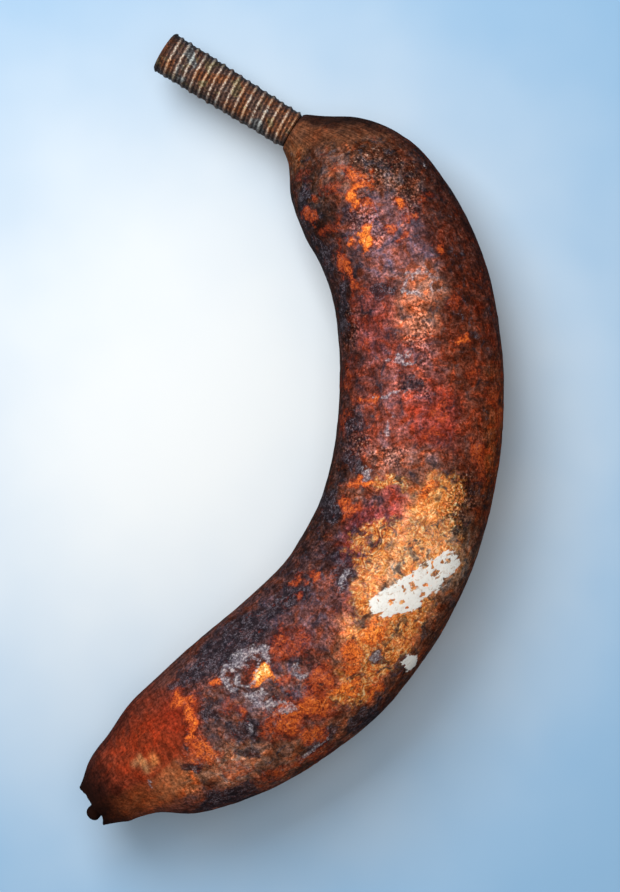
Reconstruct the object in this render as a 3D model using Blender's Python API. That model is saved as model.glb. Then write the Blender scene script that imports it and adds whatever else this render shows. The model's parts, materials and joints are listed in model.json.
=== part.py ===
"""A rusted iron banana that has a threaded rod for its stem, lying on its side.

Metres, +Z up. The origin is on the surface that the banana lies on, under the middle of
its box. +Y runs from the blossom end to the stem end, and +X to the outside of the bend.

body           one solid casting, from the rim of the neck to the blossom end
threaded_stem  a right-hand threaded rod; its turned-down spigot sits in a blind socket
               in the neck, against the neck's flat rim
"""

import math

import bmesh
import bpy
import numpy as np
from mathutils import Matrix, Vector

MM = 0.001

# Body
BODY_LENGTH = 198.6 * MM  # along the bent axis, from the neck's rim to the blossom end's rim
BODY_WIDTH = 40.2 * MM  # across the belly, where it is widest
RIDGE_COUNT = 5  # soft ridges along the fruit
RIDGE_HEIGHT = 0.025  # of a ridge over the mean radius, as a share of that radius
SECTION_POINTS = 40  # points round one section, eight to a ridge
SECTION_COUNT = 56  # sections along the body

# Share of the length, heading in degrees clockwise from +X, width as a share of BODY_WIDTH.
# The first and the last width come from the neck and the blossom end.
BODY_STATIONS = (
    (0.000, 32.0, None),
    (0.020, 37.5, 0.360),
    (0.046, 42.5, 0.580),
    (0.073, 45.0, 0.725),
    (0.100, 48.5, 0.810),
    (0.150, 58.5, 0.860),
    (0.210, 71.0, 0.890),
    (0.300, 85.0, 0.926),
    (0.400, 95.0, 0.944),
    (0.500, 108.0, 0.946),
    (0.600, 122.5, 0.965),
    (0.700, 138.0, 0.993),
    (0.780, 145.0, 0.963),
    (0.860, 150.5, 0.853),
    (0.910, 151.5, 0.712),
    (0.945, 146.0, 0.535),
    (0.975, 139.0, 0.428),
    (1.000, 139.0, None),
)

# Blossom end
TIP_WIDTH = 11.4 * MM  # across the blunt end's rim
TIP_DOME = 1.2 * MM  # how far the end bulges past its rim
TIP_SCAR_RADIUS = 0.8 * MM  # nubs left on the rim by the withered flower, one to a ridge
STUB_WIDTH = 3.0 * MM  # the flower's dried stub
STUB_LENGTH = 3.1 * MM  # out of the rim's plane
STUB_OFFSET = 0.8 * MM  # from the axis, towards the outside of the bend

# Threaded stem
STEM_LENGTH = 35.4 * MM  # showing, from the neck's rim to the free end
STEM_WIDTH = 10.3 * MM  # over the crests at the free end
STEM_NECK_WIDTH = 9.2 * MM  # over the crests at the neck, where rust has eaten it thinner
THREAD_PITCH = 2.3 * MM
THREAD_DEPTH = 0.45 * MM  # crest to root, on one side
THREAD_LEAD = 2.6 * MM  # plain length at the free end
STEM_CHAMFER = 0.5 * MM
SHOULDER_STEP = 0.65 * MM  # from the thread's root in to the spigot
STEM_SIDES = 24
ROWS_PER_PITCH = 6

# Joint between the stem and the neck
SOCKET_DEPTH = 14.0 * MM
FIT_GAP = 0.3 * MM  # all round the spigot, under its end and under the shoulder
NECK_WALL = 0.9 * MM  # round the socket, at the neck's rim

spigot_width = STEM_NECK_WIDTH - 2 * THREAD_DEPTH - 2 * SHOULDER_STEP
socket_width = spigot_width + 2 * FIT_GAP
neck_width = socket_width + 2 * NECK_WALL


def clear_scene():
    """Removes the objects that the file opened with."""
    for old in list(bpy.data.objects):
        bpy.data.objects.remove(old, do_unlink=True)


def collection_named(name):
    """A new collection in the scene."""
    made = bpy.data.collections.new(name)
    bpy.context.scene.collection.children.link(made)
    return made


def material_named(name, colour, roughness, metallic):
    """A Principled material."""
    made = bpy.data.materials.new(name)
    made.use_nodes = True
    shader = made.node_tree.nodes["Principled BSDF"]
    shader.inputs["Base Color"].default_value = (*colour, 1.0)
    shader.inputs["Roughness"].default_value = roughness
    shader.inputs["Metallic"].default_value = metallic
    return made


def object_from(bm, name, collection):
    """A new object that holds the bmesh."""
    mesh = bpy.data.meshes.new(name)
    bmesh.ops.recalc_face_normals(bm, faces=bm.faces)
    bm.to_mesh(mesh)
    bm.free()
    made = bpy.data.objects.new(name, mesh)
    collection.objects.link(made)
    return made


def eased(shares, values, at):
    """The smooth curve through values at shares, a cubic with the slope of its neighbours."""
    shares, values = np.array(shares), np.array(values)
    slopes = np.gradient(values, shares)
    left = np.clip(np.searchsorted(shares, at, side="right") - 1, 0, len(shares) - 2)
    span = shares[left + 1] - shares[left]
    t = (at - shares[left]) / span
    start = (2 * t**3 - 3 * t**2 + 1) * values[left] + (t**3 - 2 * t**2 + t) * span * slopes[left]
    end = (3 * t**2 - 2 * t**3) * values[left + 1] + (t**3 - t**2) * span * slopes[left + 1]
    return start + end


def body_axis(count):
    """Points, widths and headings along the body's axis, closer together towards both ends.

    The heading is integrated along the length, with the neck's rim at the origin.
    """
    shares, headings, widths = zip(*BODY_STATIONS)
    middle_widths = [share * BODY_WIDTH for share in widths[1:-1]]
    even = np.linspace(0, 1, count)
    places = 0.4 * even + 0.6 * (1 - np.cos(math.pi * even)) / 2
    fine = np.linspace(0, 1, 40 * count)
    angle = -np.radians(eased(shares, headings, fine))
    run = np.gradient(fine) * BODY_LENGTH
    east = np.cumsum(np.cos(angle) * run)
    north = np.cumsum(np.sin(angle) * run)
    points = [
        Vector((np.interp(place, fine, east - east[0]), np.interp(place, fine, north - north[0]), 0))
        for place in places
    ]
    return points, eased(shares, [neck_width, *middle_widths, TIP_WIDTH], places), angle[[0, -1]]


def section_curve(collection):
    """A guide: one section of unit radius, round with RIDGE_COUNT soft ridges.

    The ridges' phase leaves the section's width at 1 in the plane of the bend.
    """
    curve = bpy.data.curves.new("section_guide", "CURVE")
    curve.dimensions = "2D"
    spline = curve.splines.new("POLY")
    spline.points.add(SECTION_POINTS - 1)
    spline.use_cyclic_u = True
    for i, point in enumerate(spline.points):
        turn = 2 * math.pi * i / SECTION_POINTS
        radius = 1 + RIDGE_HEIGHT * math.sin(RIDGE_COUNT * turn)
        point.co = (radius * math.cos(turn), radius * math.sin(turn), 0, 1)
    guide = bpy.data.objects.new("section_guide", curve)
    guide.hide_render = True
    guide.display_type = "WIRE"
    collection.objects.link(guide)
    return guide


def body_sweep(collection):
    """The body as a section swept along the bent axis, made a closed mesh."""
    points, widths, (_, end_angle) = body_axis(SECTION_COUNT)
    outward = Vector((math.cos(end_angle), math.sin(end_angle), 0))
    radii = list(widths / 2)
    for turn in np.radians((30, 55, 75)):
        points.append(points[SECTION_COUNT - 1] + outward * TIP_DOME * math.sin(turn))
        radii.append(TIP_WIDTH / 2 * math.cos(turn))
    curve = bpy.data.curves.new("body_sweep", "CURVE")
    curve.dimensions = "3D"
    curve.bevel_mode = "OBJECT"
    guide = section_curve(collection)
    curve.bevel_object = guide
    curve.use_fill_caps = True
    curve.twist_mode = "Z_UP"
    spline = curve.splines.new("POLY")
    spline.points.add(len(points) - 1)
    for point, place, radius in zip(spline.points, points, radii):
        point.co = (*place, 1)
        point.radius = radius
    sweep = bpy.data.objects.new("body_sweep", curve)
    collection.objects.link(sweep)
    bpy.context.view_layer.update()
    evaluated = sweep.evaluated_get(bpy.context.evaluated_depsgraph_get())
    bm = bmesh.new()
    bm.from_mesh(bpy.data.meshes.new_from_object(evaluated))
    bmesh.ops.remove_doubles(bm, verts=bm.verts, dist=0.01 * MM)
    body = object_from(bm, "body", collection)
    body.matrix_world = sweep.matrix_world
    bpy.data.objects.remove(sweep)
    bpy.data.objects.remove(guide)
    return body


def joined(target, other, operation):
    """Applies a Boolean between two meshes, as a modifier on the first."""
    other.hide_render = True
    other.display_type = "WIRE"
    boolean = target.modifiers.new(other.name, "BOOLEAN")
    boolean.operation = operation
    boolean.solver = "EXACT"
    boolean.object = other


def socket_cutter(collection):
    """The blind socket in the neck: a cylinder along the axis's first heading."""
    _, _, (angle, _) = body_axis(SECTION_COUNT)
    overshoot = 2 * MM
    bm = bmesh.new()
    bmesh.ops.create_cone(
        bm,
        cap_ends=True,
        segments=32,
        radius1=socket_width / 2,
        radius2=socket_width / 2,
        depth=SOCKET_DEPTH + overshoot,
    )
    cutter = object_from(bm, "socket_cutter", collection)
    inward = Vector((math.cos(angle), math.sin(angle), 0))
    cutter.rotation_euler = inward.to_track_quat("Z", "Y").to_euler()
    cutter.location = inward * (SOCKET_DEPTH - overshoot) / 2
    return cutter


def flower_stub(collection):
    """The dried stub of the flower: a peg with a rounded end, just off the axis."""
    points, _, (_, angle) = body_axis(SECTION_COUNT)
    outward = Vector((math.cos(angle), math.sin(angle), 0))
    sideways = Vector((-math.sin(angle), math.cos(angle), 0))
    root = STUB_WIDTH  # how deep the peg starts inside the body
    bm = bmesh.new()
    bmesh.ops.create_uvsphere(bm, u_segments=16, v_segments=8, radius=STUB_WIDTH / 2)
    for vertex in bm.verts:
        if vertex.co.z < -0.1 * STUB_WIDTH:
            vertex.co.z -= STUB_LENGTH + root - STUB_WIDTH
    stub = object_from(bm, "flower_stub", collection)
    stub.rotation_euler = outward.to_track_quat("Z", "Y").to_euler()
    middle = STUB_LENGTH - STUB_WIDTH / 2
    stub.location = points[-1] + outward * middle + sideways * STUB_OFFSET
    return stub


def rim_scars(collection):
    """The nubs round the blossom end's rim, one on each ridge."""
    points, _, (_, angle) = body_axis(SECTION_COUNT)
    outward = Vector((math.cos(angle), math.sin(angle), 0))
    sideways = Vector((-math.sin(angle), math.cos(angle), 0))
    scars = []
    for i in range(RIDGE_COUNT):
        turn = 2 * math.pi * (i + 0.25) / RIDGE_COUNT
        reach = TIP_WIDTH / 2 - TIP_SCAR_RADIUS / 2
        bm = bmesh.new()
        bmesh.ops.create_icosphere(bm, subdivisions=2, radius=TIP_SCAR_RADIUS)
        scar = object_from(bm, f"rim_scar_{i + 1}", collection)
        across = sideways * math.cos(turn) + Vector((0, 0, 1)) * math.sin(turn)
        scar.location = points[-1] + across * reach + outward * TIP_SCAR_RADIUS / 4
        scars.append(scar)
    return scars


def make_body(collection, helpers):
    """The casting: the sweep, the blossom end's nubs and stub, and the neck's socket."""
    body = body_sweep(collection)
    for piece in (*rim_scars(helpers), flower_stub(helpers)):
        joined(body, piece, "UNION")
    joined(body, socket_cutter(helpers), "DIFFERENCE")
    body.data.materials.append(
        material_named("rusted_cast_iron", (0.115, 0.045, 0.032), 0.8, 0.25)
    )
    body.data.shade_smooth()
    return body


def stem_rows():
    """Height, radius and thread height of each ring of the stem, from its buried end out.

    Heights are measured from the neck's rim. The thread's height fades out over half a
    pitch at the shoulder and at the plain lead, and its root follows the stem's taper.
    """
    root_neck = STEM_NECK_WIDTH / 2 - THREAD_DEPTH
    root_free = STEM_WIDTH / 2 - THREAD_DEPTH
    thread_end = STEM_LENGTH - THREAD_LEAD
    count = max(8, round((thread_end - FIT_GAP) / THREAD_PITCH * ROWS_PER_PITCH))
    rows = [
        (FIT_GAP - SOCKET_DEPTH, spigot_width / 2, 0),
        (FIT_GAP, spigot_width / 2, 0),
    ]
    for height in np.linspace(FIT_GAP, thread_end, count):
        share = (height - FIT_GAP) / (STEM_LENGTH - FIT_GAP)
        root = root_neck + (root_free - root_neck) * share
        fade = min(1, 2 * (height - FIT_GAP) / THREAD_PITCH, 2 * (thread_end - height) / THREAD_PITCH)
        rows.append((height, root, THREAD_DEPTH * fade))
    lead = root_free + THREAD_DEPTH / 2
    rows.append((thread_end + THREAD_DEPTH / 2, lead, 0))
    rows.append((STEM_LENGTH - STEM_CHAMFER, lead, 0))
    rows.append((STEM_LENGTH, lead - STEM_CHAMFER, 0))
    return rows


def make_stem(collection):
    """The threaded rod: a cylinder whose rings follow stem_rows.

    Its radius is the root's plus the thread's height times half of 1 + cos(height / pitch
    in turns, less the angle), which is a rounded right-hand thread.
    """
    rows = stem_rows()
    bm = bmesh.new()
    bmesh.ops.create_cone(bm, cap_ends=True, segments=STEM_SIDES, radius1=1, radius2=1, depth=1)
    uprights = [edge for edge in bm.edges if abs(edge.verts[0].co.z - edge.verts[1].co.z) > 0.5]
    bmesh.ops.subdivide_edges(bm, edges=uprights, cuts=len(rows) - 2, use_grid_fill=True)
    for vertex in bm.verts:
        height, root, thread = rows[round((vertex.co.z + 0.5) * (len(rows) - 1))]
        turn = math.atan2(vertex.co.y, vertex.co.x)
        wave = math.cos(2 * math.pi * height / THREAD_PITCH - turn)
        radius = root + thread * (1 + wave) / 2
        vertex.co = (radius * math.cos(turn), radius * math.sin(turn), height)
    stem = object_from(bm, "threaded_stem", collection)
    _, _, (angle, _) = body_axis(SECTION_COUNT)
    outward = -Vector((math.cos(angle), math.sin(angle), 0))
    stem.rotation_euler = outward.to_track_quat("Z", "Y").to_euler()
    stem.data.materials.append(
        material_named("rusted_threaded_rod", (0.10, 0.055, 0.035), 0.7, 0.4)
    )
    stem.data.shade_smooth()
    stem.data.set_sharp_from_angle(angle=math.radians(40))
    return stem


def world_triangles(pieces):
    """The corners of every triangle of the finished pieces, as an array (triangle, corner, xyz)."""
    bpy.context.view_layer.update()
    graph = bpy.context.evaluated_depsgraph_get()
    found = []
    for piece in pieces:
        mesh = piece.evaluated_get(graph).to_mesh()
        mesh.calc_loop_triangles()
        places = np.array([piece.matrix_world @ vertex.co for vertex in mesh.vertices])
        faces = np.array([triangle.vertices for triangle in mesh.loop_triangles])
        found.append(places[faces])
    return np.concatenate(found)


def rest_pose(pieces):
    """The matrix that lays the pieces down as they come to rest under gravity.

    They rest on a face of their convex hull that lies under the centre of mass. Of those
    faces, the one that needs the least turn is taken. The box's middle goes to the origin.
    """
    corners = world_triangles(pieces)
    a, b, c = corners[:, 0], corners[:, 1], corners[:, 2]
    volumes = np.einsum("ij,ij->i", a, np.cross(b, c)) / 6
    centre = Vector((a + b + c).T @ volumes / 4 / volumes.sum())
    hull = bmesh.new()
    for place in np.unique(np.round(corners.reshape(-1, 3), 7), axis=0):
        hull.verts.new(place)
    bmesh.ops.convex_hull(hull, input=hull.verts)
    down = Vector((0, 0, -1))
    best = None
    for face in hull.faces:
        normal = face.normal
        if normal.dot(face.verts[0].co - centre) < 0:
            normal = -normal
        under = centre + normal * normal.dot(face.verts[0].co - centre)
        if (best is None or normal.dot(down) > best.dot(down)) and covers(face, under, normal):
            best = normal.copy()
    hull.free()
    turn = best.rotation_difference(down).to_matrix()
    laid = corners.reshape(-1, 3) @ np.array(turn).T
    low, high = laid.min(axis=0), laid.max(axis=0)
    shift = -Vector(((low[0] + high[0]) / 2, (low[1] + high[1]) / 2, low[2]))
    return Matrix.Translation(shift) @ turn.to_4x4()


def covers(face, point, normal):
    """True if a point in the face's plane is inside the face."""
    corners = [vertex.co for vertex in face.verts]
    sides = [
        normal.dot((after - before).cross(point - before))
        for before, after in zip(corners, corners[1:] + corners[:1])
    ]
    return min(sides) >= 0 or max(sides) <= 0


def main():
    clear_scene()
    helpers = collection_named("helpers")
    parts = collection_named("rusted_iron_banana")
    pieces = [make_body(parts, helpers), make_stem(parts)]
    pose = bpy.data.objects.new("rest_pose", None)
    parts.objects.link(pose)
    pose.matrix_world = rest_pose(pieces)
    for piece in (*pieces, *helpers.objects):
        piece.parent = pose


main()
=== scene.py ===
"""The looks of a rusted iron banana that has a threaded rod for its stem.

It is laid out as an add-on and is run as a script. Lengths in the tables are in
millimetres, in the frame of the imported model: +Z up, +Y towards the stem end and +X
towards the outside of the bend.
"""

import json
import math
from types import SimpleNamespace

import bpy
import numpy as np
from bpy.props import FloatProperty, FloatVectorProperty, PointerProperty
from bpy.types import NodeSocket, Operator, Panel, PropertyGroup
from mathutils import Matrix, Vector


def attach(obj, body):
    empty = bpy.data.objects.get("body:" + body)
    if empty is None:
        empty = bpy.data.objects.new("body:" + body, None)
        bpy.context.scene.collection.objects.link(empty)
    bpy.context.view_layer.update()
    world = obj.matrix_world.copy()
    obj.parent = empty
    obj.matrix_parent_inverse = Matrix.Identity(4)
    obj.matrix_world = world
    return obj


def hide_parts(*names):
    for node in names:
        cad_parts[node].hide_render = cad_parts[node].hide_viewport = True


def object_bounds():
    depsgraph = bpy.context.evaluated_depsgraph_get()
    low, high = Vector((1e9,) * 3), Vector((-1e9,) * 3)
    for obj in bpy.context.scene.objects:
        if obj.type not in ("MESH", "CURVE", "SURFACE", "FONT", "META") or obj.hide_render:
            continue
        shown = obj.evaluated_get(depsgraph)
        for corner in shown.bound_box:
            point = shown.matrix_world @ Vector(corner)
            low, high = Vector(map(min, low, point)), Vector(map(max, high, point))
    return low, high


bl_info = {
    "name": "Rusted Iron Banana",
    "version": (1, 0, 0),
    "blender": (4, 5, 0),
    "location": "View3D > Sidebar > Iron Banana",
    "description": "Adds a rusted iron banana with a threaded stem, and its studio",
    "category": "Add Mesh",
}

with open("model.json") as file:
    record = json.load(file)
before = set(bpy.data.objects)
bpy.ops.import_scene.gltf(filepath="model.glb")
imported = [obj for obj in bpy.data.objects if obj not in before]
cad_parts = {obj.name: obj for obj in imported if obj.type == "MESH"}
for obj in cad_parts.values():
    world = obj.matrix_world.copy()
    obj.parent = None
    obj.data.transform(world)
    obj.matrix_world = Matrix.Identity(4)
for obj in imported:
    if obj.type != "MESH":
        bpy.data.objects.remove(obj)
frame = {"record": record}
cad_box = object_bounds()

MM = 0.001
MOUNTS = {mount["name"]: mount for mount in frame["record"]["mounts"]}

# The body's axis: share of its length, heading in degrees clockwise from +X, and width as
# a share of the belly's. The first and the last width come from the neck and the tip.
STATIONS = (
    (0.000, 32.0, None),
    (0.020, 37.5, 0.360),
    (0.046, 42.5, 0.580),
    (0.073, 45.0, 0.725),
    (0.100, 48.5, 0.810),
    (0.150, 58.5, 0.860),
    (0.210, 71.0, 0.890),
    (0.300, 85.0, 0.926),
    (0.400, 95.0, 0.944),
    (0.500, 108.0, 0.946),
    (0.600, 122.5, 0.965),
    (0.700, 138.0, 0.993),
    (0.780, 145.0, 0.963),
    (0.860, 150.5, 0.853),
    (0.910, 151.5, 0.712),
    (0.945, 146.0, 0.535),
    (0.975, 139.0, 0.428),
    (1.000, 139.0, None),
)
RIDGES = 5
RIDGE_HEIGHT = 0.025
LEAN = math.radians(2.966)  # the turn that brings the banana to rest on its side
LEAN_HEADING = math.radians(-129.06)  # of the level line that it turns about

BODY_ROWS = 400
MOUTH_ROWS = 9  # of the socket and the neck's rim
END_ROWS = 19  # of the blunt end and its stub
BODY_COLUMNS = 228
STEM_ROWS_PER_PITCH = 24
STEM_COLUMNS = 96

# The kind of attribute, and the part of it that is set, for values of so many numbers.
ATTRIBUTE_KINDS = {
    1: ("FLOAT", "value"),
    3: ("FLOAT_VECTOR", "vector"),
    4: ("FLOAT_COLOR", "color"),
}

# Rust blooms, as seen from above: x, y, length, width, turn in degrees from +X, and
# warmth, from dark red at 0 through orange to yellow at 1.
BLOOMS = (
    (13.2, 58.2, 6.5, 3.8, -10, 0.38),
    (16.3, 55.4, 5, 3.6, 30, 0.46),
    (13.8, 52.4, 2.4, 5.5, 20, 0.52),
    (9.6, 54.3, 4, 4.5, 90, 0.22),
    (2.4, 57.8, 4.5, 3.2, 0, 0.14),
    (5.5, 52.7, 2.6, 1.8, 90, 0.30),
    (17.2, 50.3, 2.6, 3.4, 90, 0.34),
    (25.4, 51.3, 2.4, 2.2, 0, 0.45),
    (30.5, 52.2, 5.5, 2.6, 0, 0.16),
    (27.9, 48.1, 3.6, 2.2, 0, 0.32),
    (25.4, 42.6, 4, 2.2, 0, 0.32),
    (34.6, 40.5, 3.6, 2.6, 90, 0.32),
    (4.5, 48.2, 3, 2.8, 0, 0.32),
    (9.0, 46.0, 4, 6, 100, 0.18),
    (16.4, 44.2, 7.0, 2.3, 65, 0.62),
    (12.4, 36.3, 13, 3.0, -70, 0.36),
    (22.0, 46.0, 3, 2, 0, 0.34),
    (16.2, 24.5, 7, 2.6, 0, 0.14),
    (17.5, 19.5, 5, 3.4, 10, 0.16),
    (39.0, 20.0, 3, 2.6, 0, 0.46),
    (37.5, 29.0, 3.6, 6, 80, 0.20),
    (41.5, 12.0, 3.6, 3.6, 0, 0.22),
    (32.5, 3.5, 6.5, 6.5, 100, 0.22),
    (32.0, -2.0, 8, 3, 0, 0.18),
    (23.5, 12.5, 2, 4.6, 80, 0.20),
    (19.2, 6.5, 2.4, 2.2, 75, 0.50),
    (17.2, 6.6, 4, 2.0, 5, 0.36),
    (46.8, 4.0, 13, 3.0, 95, 0.30),
    (42.5, -6.5, 12, 3.4, 105, 0.26),
    (13.0, 12.2, 7.5, 3.2, 90, 0.22),
    (12.5, 1.5, 8, 3.0, 90, 0.16),
    (16.0, -12.5, 6, 2.4, 0, 0.50),
    (13.2, -18.0, 4.4, 5, 80, 0.38),
    (30.5, -14.4, 5, 3, 20, 0.50),
    (1.0, -34.5, 3.4, 2.2, 0, 0.32),
    (5.5, -34.0, 2.6, 2, 0, 0.38),
    (2.0, -38.0, 4, 2.4, 0, 0.28),
    (0.0, -49.0, 8.5, 11, 100, 0.24),
    (6.2, -56.5, 8, 6, 50, 0.36),
    (14.2, -51.2, 6.5, 5, 110, 0.48),
    (19.5, -46.0, 6, 5, 0, 0.56),
    (12.0, -58.5, 7, 3, 15, 0.52),
    (20.0, -59.5, 6, 3, 40, 0.50),
    (7.0, -62.5, 7, 5, 60, 0.38),
    (-5.4, -55.6, 5.2, 3.0, 5, 0.84),
    (-1.8, -57.0, 3.6, 3.6, 0, 0.32),
    (-9.5, -54.5, 3.6, 3.6, 0, 0.12),
    (-16.8, -58.2, 2.6, 2.4, 0, 0.48),
    (-14.0, -62.5, 7, 5, 100, 0.14),
    (-11.0, -64.0, 3, 2.6, 0, 0.32),
    (-1.0, -65.8, 11, 9, 40, 0.40),
    (4.5, -62.5, 9, 4, 40, 0.42),
    (4.5, -70.0, 4, 7, 70, 0.38),
    (-24.2, -61.7, 5, 3.6, 0, 0.40),
    (-22.9, -67.5, 12, 2.4, 88, 0.44),
    (-19.8, -73.2, 7.5, 6.5, -30, 0.42),
    (-12.5, -78.0, 9, 4, 20, 0.24),
    (2.0, -76.3, 22, 2.4, 24, 0.28),
)

# Dark blue-black scale: x, y, length, width and turn.
SCALES = (
    (3.0, 51.0, 12, 3.6, 100),
    (6.5, 38.5, 11, 3.4, -65),
    (11.5, 27.0, 12, 2.6, -85),
    (19.5, 30.5, 5.5, 3.4, 10),
    (27.5, 9.5, 5, 4, 60),
    (15.6, 0.5, 5, 5, 100),
    (14.0, -8.0, 6, 4, 80),
    (8.8, -17.8, 7, 4.5, 75),
    (12.0, -33.5, 6, 7, 80),
    (19.8, -51.7, 4.4, 3.4, 0),
    (23.4, -54.3, 4, 4.8, 0),
    (22.0, -37.5, 3, 2.4, 0),
    (-1.5, -39.5, 14, 4, 40),
    (-14.0, -49.0, 26, 7, 42),
    (-24.0, -56.5, 10, 3, 42),
    (-10.5, -68.3, 7, 4.4, 0),
    (-9.5, -73.5, 6, 3, 0),
    (-17.8, -64.0, 4, 5, 80),
    (-22.0, -76.5, 2.6, 7, 100),
    (-14.0, -84.5, 14, 5, 12),
    (6.5, -71.5, 11, 4, 40),
    (17.5, -66.0, 10, 3.4, 38),
)

# Lilac-grey and white flakes: x, y, length, width and turn.
FLAKES = (
    (26.8, 30.2, 5, 1.0, -4),
    (28.0, 34.7, 5, 0.8, 8),
    (32.4, 32.2, 4, 0.8, 100),
    (24.6, 32.0, 3.4, 0.8, 75),
    (24.0, 15.8, 10, 0.7, 2),
    (22.5, 7.2, 9, 0.6, 4),
    (21.5, 0.0, 4, 1.0, 80),
    (16.2, -10.4, 2.8, 2.0, 0),
    (12.0, -34.0, 3.6, 2.4, 60),
    (-9.0, -50.9, 8, 2.0, 10),
    (-5.0, -52.0, 4, 2.4, -50),
    (-15.0, -55.5, 4.6, 1.6, 50),
    (-13.5, -58.2, 5, 1.6, -15),
    (-7.4, -59.8, 4.0, 2.2, 0),
    (-4.5, -61.8, 6, 1.6, 0),
    (1.6, -55.6, 3.0, 3.0, 0),
    (19.6, -51.4, 3.4, 1.8, 0),
    (-11.5, -53.5, 2, 3.0, 40),
    (-1.0, -63.5, 6, 1.4, 10),
    (5.0, -73.5, 8, 1.2, 40),
    (30.5, 60.2, 0.9, 0.9, 0),
    (-9.2, -68.0, 0.8, 0.7, 0),
    (-32.0, -81.0, 1.1, 0.6, 20),
)

# The skin's colour under its grain: x, y, length, width, turn, and red, green and blue.
SKIN = (
    (4, 53, 16, 9, 100, 0.030, 0.017, 0.013),
    (20, 57, 20, 9, -15, 0.115, 0.054, 0.038),
    (35, 52, 34, 13, -60, 0.055, 0.017, 0.011),
    (24, 42, 22, 13, -70, 0.22, 0.100, 0.106),
    (8, 33, 30, 8, -75, 0.034, 0.016, 0.015),
    (39, 33, 34, 11, -78, 0.083, 0.017, 0.008),
    # These two pale pink patches on the upper middle are partly the rust's own tone and partly a
    # painted sheen.
    (29, 32, 10, 8, 0, 0.40, 0.165, 0.10),
    (27, 25, 9, 10, 90, 0.55, 0.19, 0.10),
    (22, 22, 16, 12, 90, 0.21, 0.046, 0.040),
    (24, 12, 20, 16, -88, 0.26, 0.080, 0.066),
    (12, 11, 34, 7, 90, 0.045, 0.019, 0.016),
    (41, 12, 44, 9, 95, 0.155, 0.038, 0.019),
    (31, 3, 14, 11, 0, 0.31, 0.047, 0.031),
    (22, 0, 12, 11, 0, 0.25, 0.067, 0.048),
    (46, -3, 30, 6, 85, 0.24, 0.050, 0.009),
    (24, -9, 14, 8, 0, 0.30, 0.115, 0.082),
    (39, -19, 26, 8, 72, 0.045, 0.014, 0.008),
    (17, -14, 12, 8, 0, 0.14, 0.052, 0.034),
    (8, -15, 18, 7, 70, 0.032, 0.014, 0.011),
    (18, -22, 16, 8, 55, 0.14, 0.030, 0.034),
    (24, -19, 9, 8, 60, 0.44, 0.080, 0.070),
    (30, -27, 18, 14, 62, 0.98, 0.54, 0.30),
    (31, -17, 9, 8, 0, 0.84, 0.34, 0.115),
    (14, -38, 12, 7, 90, 0.18, 0.07, 0.074),
    (25, -42, 14, 9, 50, 0.62, 0.20, 0.068),
    (20, -51, 22, 11, 45, 0.40, 0.12, 0.050),
    (31, -51, 22, 5, 55, 0.13, 0.045, 0.022),
    (10, -61, 16, 8, 30, 0.19, 0.046, 0.030),
    (6, -41, 18, 10, 50, 0.14, 0.056, 0.052),
    (3, -32, 16, 7, 50, 0.046, 0.022, 0.022),
    (-9, -47, 30, 9, 42, 0.075, 0.036, 0.038),
    (-5, -60, 18, 8, 10, 0.155, 0.085, 0.085),
    (-14, -66, 12, 12, 0, 0.125, 0.060, 0.052),
    (-14, -76, 14, 8, 10, 0.38, 0.185, 0.115),
    (-16, -85, 24, 6, 12, 0.14, 0.045, 0.030),
    (5, -73, 26, 7, 38, 0.20, 0.080, 0.044),
    (-32, -73, 20, 16, 42, 0.21, 0.027, 0.008),
    (-28, -67, 12, 7, 42, 0.22, 0.023, 0.009),
    (-31, -84, 20, 6, 20, 0.25, 0.060, 0.018),
    (-26, -80, 11, 6, 25, 0.44, 0.16, 0.065),
    (-44, -82, 9, 12, 30, 0.022, 0.005, 0.003),
    (-39.5, -87, 11, 5, 20, 0.040, 0.010, 0.004),
    (-41, -70, 16, 4, 45, 0.060, 0.015, 0.010),
    (16.5, -45, 9, 8, 0, 0.85, 0.28, 0.11),
    (17.5, -37, 10, 5, 90, 0.75, 0.35, 0.18),
    (11.5, 57, 7, 6, 0, 0.26, 0.11, 0.075),
    (15.5, -7, 6, 6, 0, 0.10, 0.030, 0.024),
    (16, 11, 8, 6, 90, 0.050, 0.012, 0.009),
    (-34.5, -76.5, 3.2, 3.6, 60, 0.42, 0.25, 0.11),
    (-30.8, -75.0, 3.4, 3.0, 0, 0.85, 0.32, 0.10),
    (9, 66, 28, 7, -6, 0.11, 0.038, 0.017),
    (-1, 63, 8, 7, 30, 0.14, 0.050, 0.019),
    (9, 71, 26, 4, -6, 0.014, 0.006, 0.004),
)
SKIN_BASE = (0.09, 0.034, 0.026)

# Golden-brown flaky rust: x, y, length, width and turn.
AMBERS = (
    (33.5, -18.0, 15, 10, 60),
    (30.0, -28.0, 16, 14, 60),
    (19.5, -24.0, 13, 5, 20),
    (22.0, -12.5, 9, 3, 5),
    (18.5, -31.0, 8, 8, 90),
    (25.0, -43.0, 16, 10, 50),
    (17.0, -45.0, 9, 8, 0),
    (17.0, -37.0, 11, 5, 90),
    (20.0, -51.0, 20, 10, 45),
    (13.0, -60.0, 12, 6, 20),
)

# Coarse salt-and-pepper grain: x, y, length, width and turn.
GRAINS = (
    (20.5, 58.5, 16, 9, -15),
    (26.5, 53.0, 10, 6, -60),
    (17.0, 47.0, 12, 6, -70),
    (29.5, 19.5, 15, 4.5, 100),
    (28.0, 9.0, 6, 7, 90),
    (14.0, 23.0, 9, 4, 90),
    (15.5, -2.0, 9, 5, 90),
    (22.0, -6.5, 9, 3.4, 10),
    (38.5, -17.0, 16, 6, 75),
)

# Pale rings round old blisters: x, y, length, width and turn.
RINGS = (
    (-9.8, -54.8, 7.4, 5.6, 10),
)

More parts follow.
